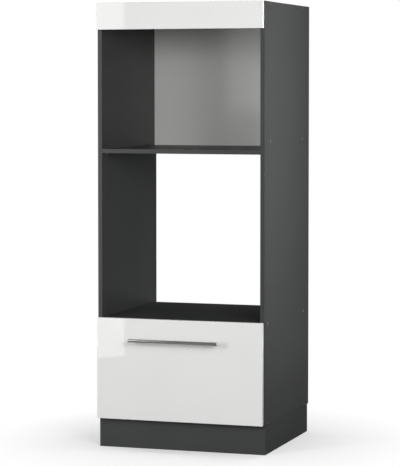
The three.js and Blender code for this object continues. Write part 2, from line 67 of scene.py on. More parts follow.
BOARD_ARRIS = 0.0004
SAME_PLACE = 1e-6
FLAT_ANGLE = math.radians(0.2)
SHARP_ANGLE = math.radians(40)
SMOOTH_ANGLE = math.radians(50)
ANTHRACITE_DARK = (0.0465, 0.0485, 0.048, 1)
ANTHRACITE_LIGHT = (0.0545, 0.0570, 0.0560, 1)
BAND_COLOUR = (0.031, 0.0325, 0.032, 1)
BAND_THICKNESS = 0.0008
GLUE_COLOUR = (0.02, 0.02, 0.02, 1)
GLUE_MIDDLE = 0.00085
GLUE_HALF = 0.00006
CHIP_DARK = (0.20, 0.125, 0.068, 1)
CHIP_MIDDLE = (0.40, 0.275, 0.155, 1)
CHIP_PALE = (0.55, 0.41, 0.25, 1)
CHIP_DUST = (0.12, 0.07, 0.035, 1)
CORE_REACH = 0.0002


def pick_out(piece):
    """Makes this piece the only one selected, and the active one."""
    bpy.ops.object.select_all(action="DESELECT")
    piece.select_set(True)
    bpy.context.view_layer.objects.active = piece


def from_cad(node):
    """A copy of a CAD node's mesh as a clean new piece that stands for it: merged, without
    the seams between its flat triangles."""
    piece = bpy.data.objects.new(node + "_finished", frame["nodes"][node].data.copy())
    bpy.context.scene.collection.objects.link(piece)
    pick_out(piece)
    bpy.ops.mesh.customdata_custom_splitnormals_clear()
    bpy.ops.object.mode_set(mode="EDIT")
    bpy.ops.mesh.select_all(action="SELECT")
    bpy.ops.mesh.remove_doubles(threshold=SAME_PLACE)
    bpy.ops.mesh.dissolve_limited(angle_limit=FLAT_ANGLE)
    bpy.ops.object.mode_set(mode="OBJECT")
    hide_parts(node)
    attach(piece, frame["nodes"][node]["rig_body"])
    return piece


def round_arrises(piece, radius, steps=2, wanted=lambda ends: True):
    """Rounds the sharp edges of a piece whose two ends pass the test."""
    pick_out(piece)
    bpy.ops.object.mode_set(mode="EDIT")
    bpy.ops.mesh.select_mode(type="EDGE")
    bpy.ops.mesh.select_all(action="DESELECT")
    mesh = bmesh.from_edit_mesh(piece.data)
    for edge in mesh.edges:
        ends = [vertex.co for vertex in edge.verts]
        edge.select_set(edge.calc_face_angle(0) > SHARP_ANGLE and wanted(ends))
    bmesh.update_edit_mesh(piece.data)
    bpy.ops.mesh.bevel(offset=radius, segments=steps, clamp_overlap=True, loop_slide=False)
    bpy.ops.mesh.select_all(action="SELECT")
    bpy.ops.mesh.dissolve_degenerate(threshold=SAME_PLACE)
    bpy.ops.object.mode_set(mode="OBJECT")


def finish_piece(piece, material):
    """Gives a piece its finish. Its rounded edges shade smoothly and its flat faces flat."""
    pick_out(piece)
    bpy.ops.object.shade_smooth_by_angle(angle=SMOOTH_ANGLE)
    flat = piece.modifiers.new("flat_faces", "WEIGHTED_NORMAL")
    flat.mode = "FACE_AREA"
    flat.weight = 100
    flat.keep_sharp = True
    bpy.ops.object.modifier_apply(modifier="flat_faces")
    piece.data.materials.clear()
    piece.data.materials.append(material)


class Nodes:
    """A node tree. What its nodes are given is a number, a colour or another node's output."""

    def __init__(self, tree):
        self.tree = tree

    def add(self, kind, **settings):
        node = self.tree.nodes.new(kind)
        for name, value in settings.items():
            setattr(node, name, value)
        return node

    def join(self, output, target):
        self.tree.links.new(output, target)

    def give(self, value, target):
        if isinstance(value, bpy.types.NodeSocket):
            self.join(value, target)
        else:
            target.default_value = value

    def reckon(self, operation, first, second):
        node = self.add("ShaderNodeMath", operation=operation)
        self.give(first, node.inputs[0])
        self.give(second, node.inputs[1])
        return node.outputs["Value"]

    def ranged(self, value, low, high, start=0.0, end=1.0, curve="LINEAR"):
        """Turns values between start and end into values between low and high."""
        node = self.add("ShaderNodeMapRange", interpolation_type=curve)
        self.give(value, node.inputs["Value"])
        self.give(start, node.inputs["From Min"])
        self.give(end, node.inputs["From Max"])
        self.give(low, node.inputs["To Min"])
        self.give(high, node.inputs["To Max"])
        return node.outputs["Result"]


class Finish(Nodes):
    """A node material under its own name, with the nodes that most finishes here need."""

    def __init__(self, name):
        self.material = bpy.data.materials.new(name)
        self.material.use_nodes = True
        super().__init__(self.material.node_tree)
        self.shader = self.tree.nodes["Principled BSDF"]
        self.place = self.add("ShaderNodeTexCoord").outputs["Object"]

    def axes(self):
        node = self.add("ShaderNodeSeparateXYZ")
        self.join(self.place, node.inputs["Vector"])
        return node.outputs

    def stretched(self, scale):
        mapping = self.add("ShaderNodeMapping")
        self.join(self.place, mapping.inputs["Vector"])
        mapping.inputs["Scale"].default_value = scale
        return mapping.outputs["Vector"]

    def noise(self, scale, detail=2, roughness=0.5, place=None):
        node = self.add("ShaderNodeTexNoise")
        self.join(place or self.place, node.inputs["Vector"])
        node.inputs["Scale"].default_value = scale
        node.inputs["Detail"].default_value = detail
        node.inputs["Roughness"].default_value = roughness
        return node.outputs["Fac"]

    def cells(self, scale, place):
        node = self.add("ShaderNodeTexVoronoi", feature="F1")
        self.join(place, node.inputs["Vector"])
        node.inputs["Scale"].default_value = scale
        return node.outputs["Distance"]

    def ramp(self, factor, *stops):
        """Turns a factor into a colour. Each stop is (factor, colour)."""
        node = self.add("ShaderNodeValToRGB")
        self.join(factor, node.inputs["Fac"])
        ends = node.color_ramp.elements
        while len(ends) < len(stops):
            ends.new(0.5)
        for element, (position, colour) in zip(ends, stops):
            element.position = position
            element.color = colour
        return node.outputs["Color"]

    def blend(self, factor, first, second, kind="MIX"):
        """Mixes two colours."""
        node = self.add("ShaderNodeMix", data_type="RGBA", blend_type=kind)
        first_colour, second_colour = [i for i in node.inputs if i.type == "RGBA"]
        self.give(factor, node.inputs["Factor"])
        self.give(first, first_colour)
        self.give(second, second_colour)
        return [o for o in node.outputs if o.type == "RGBA"][0]

    def blend_value(self, factor, first, second):
        """Mixes two numbers."""
        node = self.add("ShaderNodeMix", data_type="FLOAT")
        self.give(factor, node.inputs["Factor"])
        self.give(first, node.inputs[2])
        self.give(second, node.inputs[3])
        return node.outputs["Result"]

    def colour(self, output):
        self.join(output, self.shader.inputs["Base Color"])

    def roughness(self, output):
        self.join(output, self.shader.inputs["Roughness"])

    def bump(self, height, distance, strength):
        node = self.add("ShaderNodeBump")
        self.join(height, node.inputs["Height"])
        node.inputs["Distance"].default_value = distance
        node.inputs["Strength"].default_value = strength
        self.join(node.outputs["Normal"], self.shader.inputs["Normal"])


def melamine_board(name, raw, banded_front=None, sheen=0.3):
    """Melamine-faced chipboard. raw lists the planes, as (axis, place, side), at which the
    board's core shows, and banded_front is the Y of the front edge that carries a band."""
    finish = Finish(name)
    grain = finish.noise(1600, detail=2)
    cloud = finish.noise(7, detail=3)
    colour = finish.ramp(grain, (0.35, ANTHRACITE_DARK), (0.65, ANTHRACITE_LIGHT))
    shade = finish.ramp(cloud, (0.3, (0.96, 0.96, 0.96, 1)), (0.7, (1.04, 1.04, 1.04, 1)))
    colour = finish.blend(1, colour, shade, "MULTIPLY")
    rough = finish.ranged(grain, 0.43, 0.54)
    along = dict(zip("XYZ", finish.axes()))
    if banded_front is not None:
        band = finish.reckon("LESS_THAN", along["Y"], banded_front + BAND_THICKNESS)
        joint = finish.reckon("COMPARE", along["Y"], banded_front + GLUE_MIDDLE)
        joint.node.inputs[2].default_value = GLUE_HALF
        colour = finish.blend(band, colour, BAND_COLOUR)
        colour = finish.blend(joint, colour, GLUE_COLOUR)
        rough = finish.blend_value(band, rough, 0.42)
    flakes = finish.cells(520, finish.stretched((1, 1, 2.2)))
    core = finish.ramp(flakes, (0.0, CHIP_DARK), (0.55, CHIP_MIDDLE), (1.0, CHIP_PALE))
    dust = finish.ranged(finish.noise(2600, detail=3), 0, 1, 0.55, 0.75)
    core = finish.blend(dust, core, CHIP_DUST)
    shown = 0
    for axis, place, side in raw:
        beyond = finish.reckon("GREATER_THAN" if side > 0 else "LESS_THAN",
                               along[axis], place - side * CORE_REACH)
        shown = finish.reckon("MAXIMUM", shown, beyond)
    finish.colour(finish.blend(shown, colour, core))
    finish.roughness(finish.blend_value(shown, rough, 0.9))
    finish.bump(finish.blend_value(shown, grain, flakes), 0.00006, 0.5)
    finish.shader.inputs["Specular IOR Level"].default_value = sheen
    return finish.material


plinth_melamine = melamine_board("anthracite_melamine_plinth", raw=[("Z", 0.0, -1)], sheen=0.17)
for node in ("plinth_front", "plinth_rear", "plinth_side_left", "plinth_side_right"):
    board = from_cad(node)
    round_arrises(board, BOARD_ARRIS)
    finish_piece(board, plinth_melamine)

# ------------------------------------------------------------------ side panels
# Two 15 mm anthracite melamine boards, 1437 mm high, drilled for the joining screws and
# shelf pins and grooved for the back panels. Their front edges have a band, glued on with
# a hair-fine joint. The rear and lower ones face the wall and the plinth and are left raw.

NEAR = 0.0001


def lies_low(ends, axis, place):
    """Whether an edge lies in the plane of a piece's lower end along an axis."""
    return max(getattr(end, axis) for end in ends) < place + NEAR


def lies_high(ends, axis, place):
    """Whether an edge lies in the plane of a piece's upper end along an axis."""
    return min(getattr(end, axis) for end in ends) > place - NEAR


side_lo, side_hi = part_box("side_panel_right")
side_melamine = melamine_board(
    "anthracite_melamine_sides",
    raw=[("Y", side_hi.y, 1), ("Z", side_lo.z, -1)],
    banded_front=side_lo.y,
)
for node in ("side_panel_left", "side_panel_right"):
    board = from_cad(node)
    round_arrises(board, BOARD_ARRIS, wanted=lambda ends: (
        lies_low(ends, "y", side_lo.y) or lies_high(ends, "y", side_hi.y)
        or lies_low(ends, "z", side_lo.z) or lies_high(ends, "z", side_hi.z)))
    finish_piece(board, side_melamine)

# ------------------------------------------------------------------ boards between the sides
# Bottom, oven floor and top are melamine boards screwed between the sides, and the shelf
# lies loose on four pins. Their front edges are banded and their rear ones raw.

shelf_lo, shelf_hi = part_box("microwave_shelf")
cross_melamine = melamine_board(
    "anthracite_melamine_cross", raw=[("Y", shelf_hi.y, 1)], banded_front=shelf_lo.y
)
for node in ("bottom_board", "oven_floor_board", "microwave_shelf", "top_board"):
    board = from_cad(node)
    round_arrises(board, BOARD_ARRIS, wanted=lambda ends: (
        lies_low(ends, "y", shelf_lo.y) or lies_high(ends, "y", shelf_hi.y)))
    finish_piece(board, cross_melamine)

# ------------------------------------------------------------------ back panels
# 3 mm hardboard slid into the sides' grooves, with a light-grey lacquer on the face that
# shows in the niche and the bare brown fibre, with its screen marks, at the rear.

THIN_ARRIS = 0.0002
panel_lo, panel_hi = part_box("upper_back_panel")
hardboard = Finish("grey_lacquered_hardboard")
fibre = hardboard.noise(900, detail=4, roughness=0.65)
drift = hardboard.ranged(hardboard.noise(5, detail=2), 0, 0.25)
lacquer = hardboard.ramp(fibre, (0.3, (0.68, 0.69, 0.658, 1)), (0.7, (0.71, 0.72, 0.687, 1)))
lacquer = hardboard.blend(drift, lacquer, (0.66, 0.67, 0.639, 1))
screen = hardboard.add("ShaderNodeTexWave", wave_type="BANDS", bands_direction="DIAGONAL")
hardboard.join(hardboard.stretched((1, 0, 1)), screen.inputs["Vector"])
screen.inputs["Scale"].default_value = 160
screen.inputs["Distortion"].default_value = 1.5
brown = hardboard.ramp(fibre, (0.25, (0.13, 0.07, 0.035, 1)), (0.75, (0.26, 0.155, 0.08, 1)))
rear = hardboard.reckon("GREATER_THAN", hardboard.axes()[1], (panel_lo.y + panel_hi.y) / 2)
hardboard.colour(hardboard.blend(rear, lacquer, brown))
hardboard.roughness(hardboard.blend_value(rear, hardboard.ranged(fibre, 0.38, 0.46), 0.8))
hardboard.bump(hardboard.blend_value(rear, fibre, screen.outputs["Fac"]), 0.00012, 0.35)
for node in ("upper_back_panel", "lower_back_panel"):
    panel = from_cad(node)
    round_arrises(panel, THIN_ARRIS)
    finish_piece(panel, hardboard.material)

# ------------------------------------------------------------------ joining screws
# Zinc-plated one-piece connectors, 7 by 50 mm, sunk into the sides at both ends of the
# top, oven floor and bottom boards: a countersunk head with a hexagon socket, a smooth
# neck, a coarse thread and a blunt point.

HEAD_RADIUS = 0.005
SOCKET_ACROSS = 0.004
SOCKET_DEPTH = 0.0028
SCREW_LENGTH = 0.05
zinc = Finish("bright_zinc_plating")
zinc_flow = zinc.noise(420, detail=3)
zinc.colour(zinc.ramp(zinc_flow, (0.3, (0.50, 0.51, 0.53, 1)), (0.7, (0.62, 0.62, 0.62, 1))))
zinc.roughness(zinc.ranged(zinc_flow, 0.3, 0.46))
zinc.shader.inputs["Metallic"].default_value = 1
zinc.bump(zinc_flow, 0.00002, 0.4)


def lathe(name, profile, centre, axis="X", towards=1, sides=32, bored=False):
    """Turns a piece from rings, drawn out one after another. The profile lists (distance,
    radius) from centre, along axis in the direction of towards, which is 1 or -1. A bored
    piece's profile ends where it starts, and any other is closed by a face at both ends."""
    along = Vector((1, 0, 0) if axis == "X" else (0, 1, 0)) * towards
    turned = (0, math.pi / 2, 0) if axis == "X" else (math.pi / 2, 0, 0)
    start, start_radius = profile[0]
    bpy.ops.object.select_all(action="DESELECT")
    bpy.ops.mesh.primitive_circle_add(
        vertices=sides, radius=start_radius, fill_type="NOTHING" if bored else "NGON",
        location=Vector(centre) + along * start, rotation=turned, enter_editmode=True)
    piece = bpy.context.object
    piece.name = name
    bpy.ops.mesh.select_mode(type="EDGE")
    for (at, radius), (further, wider) in zip(profile, profile[1:]):
        bpy.ops.mesh.extrude_edges_move() if bored else bpy.ops.mesh.extrude_region_move()
        bpy.ops.transform.translate(value=along * (further - at))
        scale = wider / radius
        bpy.ops.transform.resize(value=(1, scale, scale) if axis == "X" else (scale, 1, scale))
    bpy.ops.mesh.select_all(action="SELECT")
    bpy.ops.mesh.remove_doubles(threshold=SAME_PLACE)
    bpy.ops.mesh.normals_make_consistent(inside=False)
    bpy.ops.object.mode_set(mode="OBJECT")
    pick_out(piece)
    bpy.ops.object.transform_apply(location=True, rotation=True, scale=True)
    return piece


def thread(start, pitch, turns, ridge):
    """A screw's thread as part of a profile. The ridge is one turn's (distance, radius)."""
    return [(start + pitch * turn + at, radius) for turn in range(turns) for at, radius in ridge]


def twin(piece, name, move, flip):
    """A copy with its own mesh, moved, and mirrored across the cabinet's middle if flip."""
    pick_out(piece)
    bpy.ops.object.duplicate(linked=False)
    copy = bpy.context.object
    copy.name = name
    bpy.ops.object.mode_set(mode="EDIT")
    bpy.ops.mesh.select_all(action="SELECT")
    if flip:
        bpy.ops.transform.mirror(constraint_axis=(True, False, False), center_override=(0, 0, 0))
        bpy.ops.mesh.flip_normals()
    bpy.ops.transform.translate(value=move)
    bpy.ops.object.mode_set(mode="OBJECT")
    return copy


def cut_out(piece, cutter):
    """Cuts one shape out of a piece and clears the cutter away."""
    cut = piece.modifiers.new("cut", "BOOLEAN")
    cut.object = cutter
    cut.solver = "EXACT"
    pick_out(piece)
    bpy.ops.object.modifier_apply(modifier="cut")
    bpy.data.objects.remove(cutter)


def hexagon_socket(piece, centre, across, depth):
    """Sinks a hexagon socket into the end of a piece that is turned along X."""
    bpy.ops.object.select_all(action="DESELECT")
    bpy.ops.mesh.primitive_cylinder_add(vertices=6, radius=across / math.sqrt(3), depth=depth * 2,
                                        location=centre, rotation=(0, math.pi / 2, 0))
    cut_out(piece, bpy.context.object)


screw_lo, screw_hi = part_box("top_screw_right_front")
head_centre = Vector((screw_hi.x, (screw_lo.y + screw_hi.y) / 2, (screw_lo.z + screw_hi.z) / 2))
screw_profile = [(0, 0.0047), (0.0003, HEAD_RADIUS), (0.0006, HEAD_RADIUS), (0.0018, 0.0036),
                 (0.014, 0.0034)]
screw_profile += thread(0.016, 0.0027, 11,
                        [(0, 0.0026), (0.0009, 0.0035), (0.0012, 0.0035), (0.0021, 0.0026)])
screw_profile += [(0.0475, 0.0022), (SCREW_LENGTH, 0.001)]
joining_screw = lathe("joining_screw_master", screw_profile, head_centre, towards=-1, sides=24)
hexagon_socket(joining_screw, head_centre, SOCKET_ACROSS, SOCKET_DEPTH)
finish_piece(joining_screw, zinc.material)
for level in ("top", "oven_floor", "bottom"):
    for end in ("front", "rear"):
        for side in ("right", "left"):
            node = f"{level}_screw_{side}_{end}"
            lo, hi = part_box(node)
            move = Vector((0, (lo.y + hi.y) / 2 - head_centre.y, (lo.z + hi.z) / 2 - head_centre.z))
            screw = twin(joining_screw, node + "_threaded", move, flip=side == "left")
            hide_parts(node)
            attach(screw, "carcass")
bpy.data.objects.remove(joining_screw)

# ------------------------------------------------------------------ shelf pins
# Plain 5 mm steel pins with chamfered ends, half their length in the sides, under the
# shelf's four corners.

PIN_RADIUS = 0.0025
PIN_LENGTH = 0.016
pin_end = [(0, 0.0018), (0.0002, 0.0021), (0.0006, PIN_RADIUS)]
pin_profile = pin_end + [(PIN_LENGTH - at, radius) for at, radius in reversed(pin_end)]


def middle(node):
    lo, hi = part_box(node)
    return (lo + hi) / 2


def stand_in(piece, node, material):
    """Lets a new piece stand for a CAD node, on that node's body."""
    finish_piece(piece, material)
    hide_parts(node)
    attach(piece, frame["nodes"][node]["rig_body"])


for end in ("front", "rear"):
    for side in ("left", "right"):
        node = f"shelf_pin_{side}_{end}"
        pin = lathe(node + "_turned", pin_profile, middle(node) - Vector((PIN_LENGTH / 2, 0, 0)))
        stand_in(pin, node, zinc.material)

# ------------------------------------------------------------------ caps of the second shelf place
# Light-grey moulded caps whose stems plug the four unused holes above the shelf.

CAP_RADIUS = 0.005
CAP_RIM = 0.00125
STEM_RADIUS = 0.0025
CAP_LENGTH = 0.01025
cap_grey = Finish("grey_cap_plastic")
cap_cloud = cap_grey.noise(300, detail=3)
cap_grey.colour(cap_grey.ramp(cap_cloud, (0.3, (0.20, 0.205, 0.20, 1)),
                              (0.7, (0.23, 0.235, 0.23, 1))))
cap_grey.roughness(cap_grey.ranged(cap_cloud, 0.4, 0.5))
cap_grey.bump(cap_cloud, 0.00003, 0.3)
cap_profile = [(0, 0.0022), (0.0001, 0.0038), (0.0004, 0.0047), (0.0008, CAP_RADIUS),
               (CAP_RIM, CAP_RADIUS), (CAP_RIM, STEM_RADIUS), (0.0022, STEM_RADIUS),
               (0.0026, 0.00235), (0.0030, STEM_RADIUS), (0.0092, STEM_RADIUS),
               (CAP_LENGTH, 0.0018)]
for end in ("front", "rear"):
    for side, outwards in (("left", -1), ("right", 1)):
        node = f"shelf_hole_cap_{side}_{end}"
        face = middle(node) + Vector((outwards * CAP_LENGTH / 2, 0, 0))
        cap = lathe(node + "_moulded", cap_profile, face, towards=-outwards)
        stand_in(cap, node, cap_grey.material)

# ------------------------------------------------------------------ fascia
# A fibreboard panel across the top of the microwave niche, wrapped in white high-gloss
# foil over softly rounded front edges. Two steel angles hold it from behind.

FRONT_ARRIS = 0.001
FRONT_ARRIS_STEPS = 4
REAR_ARRIS = 0.0003
FOIL_REACH = 0.0002
fascia_lo, fascia_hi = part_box("fascia_panel")
gloss = Finish("white_gloss_foil")
ripple = gloss.noise(55, detail=2, roughness=0.4)
milk = gloss.noise(4, detail=2)
gloss.colour(gloss.ramp(milk, (0.3, (0.795, 0.795, 0.786, 1)), (0.7, (0.815, 0.815, 0.807, 1))))
matt_back = gloss.reckon("GREATER_THAN", gloss.axes()[1], fascia_hi.y - FOIL_REACH)
gloss.roughness(gloss.blend_value(matt_back, gloss.ranged(ripple, 0.02, 0.035), 0.45))
gloss.shader.inputs["IOR"].default_value = 1.5
gloss.bump(ripple, 0.00001, 0.05)
fascia = from_cad("fascia_panel")
round_arrises(fascia, REAR_ARRIS, wanted=lambda ends: not lies_low(ends, "y", fascia_lo.y))
round_arrises(fascia, FRONT_ARRIS, FRONT_ARRIS_STEPS, lambda ends: lies_low(ends, "y", fascia_lo.y))
finish_piece(fascia, gloss.material)

# ------------------------------------------------------------------ fascia brackets
# Folded 2 mm zinc-plated angles in the niche's top corners, each with two pan-head wood
# screws into the side and two into the fascia's rear face.

BRACKET_ARRIS = 0.0003
BRACKET_SHEET = 0.002
BRACKET_HOLE_FROM_END = 0.012
PAN_HEAD = 0.0016
RECESS_LENGTH = 0.0036
RECESS_DEPTH = 0.0011
wood_screw_profile = [(0, 0.0024), (0.0003, 0.0032), (0.0008, 0.0037), (PAN_HEAD, 0.0038),
                      (PAN_HEAD, 0.002)]
wood_screw_profile += thread(0.0042, 0.0014, 7, [(0, 0.0015), (0.0006, 0.002), (0.0012, 0.0015)])
wood_screw_profile += [(0.0158, 0.0003)]


def cross_recess(piece, centre, length, depth):
    """Sinks a cross recess for a driver into the end of a piece that is turned along X."""
    for size in ((depth * 2, length, length / 4), (depth * 2, length / 4, length)):
        bpy.ops.object.select_all(action="DESELECT")
        bpy.ops.mesh.primitive_cube_add(size=1, location=centre, scale=size)
        cut_out(piece, bpy.context.object)


def fastener(name, profile, centre, axis, towards, body, recess=RECESS_LENGTH):
    """A zinc-plated screw or cam with a cross recess. Centre is the middle of its head's
    top, and it points along the axis, towards 1 or -1."""
    screw = lathe(name, profile, (0, 0, 0), sides=24)
    cross_recess(screw, (0, 0, 0), recess, RECESS_DEPTH)
    pick_out(screw)
    bpy.ops.object.mode_set(mode="EDIT")
    bpy.ops.mesh.select_all(action="SELECT")
    if towards < 0:
        bpy.ops.transform.rotate(value=math.pi, orient_axis="Z", center_override=(0, 0, 0))
    if axis == "Y":
        bpy.ops.transform.rotate(value=-math.pi / 2, orient_axis="Z", center_override=(0, 0, 0))
    bpy.ops.transform.translate(value=centre)
    bpy.ops.object.mode_set(mode="OBJECT")
    finish_piece(screw, zinc.material)
    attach(screw, body)
    return screw


for side, outwards in (("left", -1), ("right", 1)):
    bracket = from_cad(f"fascia_bracket_{side}")
    round_arrises(bracket, BRACKET_ARRIS)
    finish_piece(bracket, zinc.material)
    lo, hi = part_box(f"fascia_bracket_{side}")
    leg_middle = middle(f"fascia_bracket_{side}")
    side_face = (hi.x if outwards > 0 else lo.x) - outwards * BRACKET_SHEET
    for level, height in (("lower", lo.z + BRACKET_HOLE_FROM_END),
                          ("upper", hi.z - BRACKET_HOLE_FROM_END)):
        fastener(f"bracket_side_screw_{side}_{level}", wood_screw_profile,
                 (side_face - outwards * PAN_HEAD, leg_middle.y, height), "X", outwards, "carcass")
        fastener(f"bracket_fascia_screw_{side}_{level}", wood_screw_profile,
                 (leg_middle.x, lo.y + BRACKET_SHEET + PAN_HEAD, height), "Y", -1, "carcass")

# ------------------------------------------------------------------ drawer front
# A fibreboard panel wrapped like the fascia, held to the ends of the drawer's sides by
# dowels and cams, with two holes for the handle's screws.

front_lo, front_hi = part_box("drawer_front")


def on_outline(ends):
    """Whether an edge runs around the drawer front, and not around one of its holes."""
    return (min(abs(end.x) for end in ends) > front_hi.x - NEAR
            or lies_low(ends, "z", front_lo.z) or lies_high(ends, "z", front_hi.z))


front = from_cad("drawer_front")
round_arrises(front, REAR_ARRIS, wanted=lambda ends: (
    lies_high(ends, "y", front_hi.y) and on_outline(ends)))
round_arrises(front, FRONT_ARRIS, FRONT_ARRIS_STEPS, lambda ends: (
    lies_low(ends, "y", front_lo.y) and on_outline(ends)))
finish_piece(front, gloss.material)

# ------------------------------------------------------------------ drawer box
# Light-grey melamine sides and back, 12 mm thick, with a 3 mm panel in their grooves.

drawer_grey = Finish("grey_drawer_melamine")
drawer_grain = drawer_grey.noise(1500, detail=2)
drawer_grey.colour(drawer_grey.ramp(drawer_grain, (0.35, (0.47, 0.48, 0.475, 1)),
                                    (0.65, (0.52, 0.53, 0.52, 1))))
drawer_grey.roughness(drawer_grey.ranged(drawer_grain, 0.45, 0.55))
drawer_grey.bump(drawer_grain, 0.00005, 0.4)
for node in ("drawer_side_left", "drawer_side_right", "drawer_back"):
    board = from_cad(node)
    round_arrises(board, BOARD_ARRIS)
    finish_piece(board, drawer_grey.material)
drawer_floor = from_cad("drawer_bottom")
round_arrises(drawer_floor, THIN_ARRIS)
finish_piece(drawer_floor, drawer_grey.material)

# ------------------------------------------------------------------ drawer fittings
# Zinc cams, 15 mm across, let into the drawer sides' inner faces, which pull the front's
# dowels tight, and countersunk screws through the sides into the back's ends.

CAM_RADIUS = 0.0075
CAM_NECK = CAM_RADIUS - 0.0006
CAM_RIM = 0.0008
CAM_DEPTH = 0.009
CAM_PROUD = 0.0003
CAM_RECESS = 0.006
CAM_FROM_FRONT = 0.024
BACK_SCREW_PROUD = 0.0002
FITTING_HEIGHTS = (("lower", 0.185), ("upper", 0.285))
cam_profile = [(0, CAM_RADIUS - 0.0005), (0.0002, CAM_RADIUS), (CAM_RIM, CAM_RADIUS),
               (CAM_RIM, CAM_NECK), (CAM_DEPTH, CAM_NECK)]
flat_screw_profile = [(0, 0.003), (0.0002, 0.0034), (0.0005, 0.0034), (0.0022, 0.0018)]
flat_screw_profile += thread(0.004, 0.0016, 9, [(0, 0.0014), (0.0007, 0.0019), (0.0014, 0.0014)])
flat_screw_profile += [(0.0205, 0.0003)]
back_middle = middle("drawer_back").y
for side, outwards in (("left", -1), ("right", 1)):
    lo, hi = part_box(f"drawer_side_{side}")
    inner, outer = (lo.x, hi.x) if outwards > 0 else (hi.x, lo.x)
    for level, height in FITTING_HEIGHTS:
        fastener(f"drawer_cam_{side}_{level}", cam_profile,
                 (inner - outwards * CAM_PROUD, lo.y + CAM_FROM_FRONT, height),
                 "X", outwards, "drawer", recess=CAM_RECESS)
        fastener(f"drawer_back_screw_{side}_{level}", flat_screw_profile,
                 (outer + outwards * BACK_SCREW_PROUD, back_middle, height),
                 "X", -outwards, "drawer")

# ------------------------------------------------------------------ bumpers
# Two clear soft discs stuck behind the drawer front's upper corners.

BUMPER_ARRIS = 0.0003
bumper_clear = Finish("clear_soft_plastic")
bumper_cloud = bumper_clear.noise(500, detail=2)
bumper_clear.colour(bumper_clear.ramp(bumper_cloud, (0.3, (0.62, 0.62, 0.6, 1)),
                                      (0.7, (0.7, 0.7, 0.68, 1))))
bumper_clear.roughness(bumper_clear.ranged(bumper_cloud, 0.3, 0.4))
bumper_clear.shader.inputs["Transmission Weight"].default_value = 0.4
for side in ("left", "right"):
    bumper = from_cad(f"drawer_bumper_{side}")
    round_arrises(bumper, BUMPER_ARRIS, 3)
    finish_piece(bumper, bumper_clear.material)

# ------------------------------------------------------------------ bar handle
# A 12 mm steel bar, 320 mm long, polished along its length, on two 8 mm posts that are
# screwed through the front from inside.

BAR_END_ROUND = 0.0009
BAR_END_STEPS = 4
HANDLE_SCREW_HEAD = 0.0025
HANDLE_SCREW_RADIUS = 0.004
steel = Finish("polished_handle_steel")
polish = steel.noise(220, detail=3, place=steel.stretched((0.04, 1, 1)))
steel.colour(steel.ramp(polish, (0.3, (0.50, 0.50, 0.49, 1)), (0.7, (0.60, 0.60, 0.59, 1))))
steel.roughness(steel.ranged(polish, 0.06, 0.12))
steel.shader.inputs["Metallic"].default_value = 1
steel.bump(polish, 0.00001, 0.3)

bar_lo, bar_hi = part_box("handle_bar")
bar_radius = (bar_hi.z - bar_lo.z) / 2
bar_length = bar_hi.x - bar_lo.x
bar_axis = middle("handle_bar")
bar_profile = []
for step in range(BAR_END_STEPS + 1):
    turn = step * math.pi / 2 / BAR_END_STEPS
    bar_profile.append((BAR_END_ROUND * (1 - math.cos(turn)),
                        bar_radius - BAR_END_ROUND + BAR_END_ROUND * math.sin(turn)))
bar_profile += [(bar_length - at, radius) for at, radius in reversed(bar_profile)]
bar = lathe("handle_bar_polished", bar_profile, (bar_lo.x, bar_axis.y, bar_axis.z), sides=64)
stand_in(bar, "handle_bar", steel.material)

handle_screw_profile = [(0, 0.0028), (0.0003, 0.0036), (0.0008, HANDLE_SCREW_RADIUS),
                        (HANDLE_SCREW_HEAD, HANDLE_SCREW_RADIUS), (HANDLE_SCREW_HEAD, 0.002)]
handle_screw_profile += thread(0.0035, 0.0014, 17, [(0, 0.0019), (0.0005, 0.002), (0.001, 0.0017)])
handle_screw_profile += [(0.0285, 0.0015)]
for side in ("left", "right"):
    post_lo, post_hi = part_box(f"handle_post_{side}")
    post_length = post_hi.y - post_lo.y
    post_radius = (post_hi.z - post_lo.z) / 2
    post_middle = middle(f"handle_post_{side}")
    foot = Vector((post_middle.x, post_hi.y, post_middle.z))
    post_profile = [(0, post_radius - 0.0004), (0.0001, post_radius - 0.0001),
                    (0.0004, post_radius), (post_length, post_radius)]
    post = lathe(f"handle_post_{side}_polished", post_profile, foot, "Y", -1, sides=48)
    stand_in(post, f"handle_post_{side}", steel.material)
    screw_lo, screw_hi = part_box(f"handle_screw_{side}")
    handle_screw = fastener(f"handle_screw_{side}_threaded", handle_screw_profile,
                            (foot.x, screw_hi.y, foot.z), "Y", -1, "drawer")
    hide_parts(f"handle_screw_{side}")

# ------------------------------------------------------------------ roller runners
# Channels of white-enamelled 1.25 mm steel on the sides, and the flanged members under
# the drawer box that run in them on nylon rollers.

ROLLER_RADIUS = 0.011
ROLLER_HALF = 0.00325
RUNNER_SHEET = 0.00125
RUNNER_GAP = 0.00025
RUNNER_SCREW_HEAD = 0.0006
RUNNER_SCREW_RECESS = 0.003
RUNNER_SCREW_DEPTHS = (("front", 0.060), ("middle", 0.250), ("rear", 0.440))
MEMBER_SCREW_SHIFT = 0.01
enamel = Finish("white_runner_enamel")
peel = enamel.noise(700, detail=2)
enamel.colour(enamel.ramp(peel, (0.3, (0.68, 0.68, 0.66, 1)), (0.7, (0.72, 0.72, 0.70, 1))))
enamel.roughness(enamel.ranged(peel, 0.3, 0.4))
enamel.bump(peel, 0.00004, 0.4)
nylon = Finish("natural_nylon")
nylon_cloud = nylon.noise(400, detail=2)
nylon.colour(nylon.ramp(nylon_cloud, (0.3, (0.74, 0.73, 0.68, 1)), (0.7, (0.79, 0.78, 0.73, 1))))
nylon.roughness(nylon.ranged(nylon_cloud, 0.35, 0.45))
nylon.shader.inputs["Subsurface Weight"].default_value = 0.15
nylon.shader.inputs["Subsurface Radius"].default_value = (0.002, 0.0018, 0.0015)
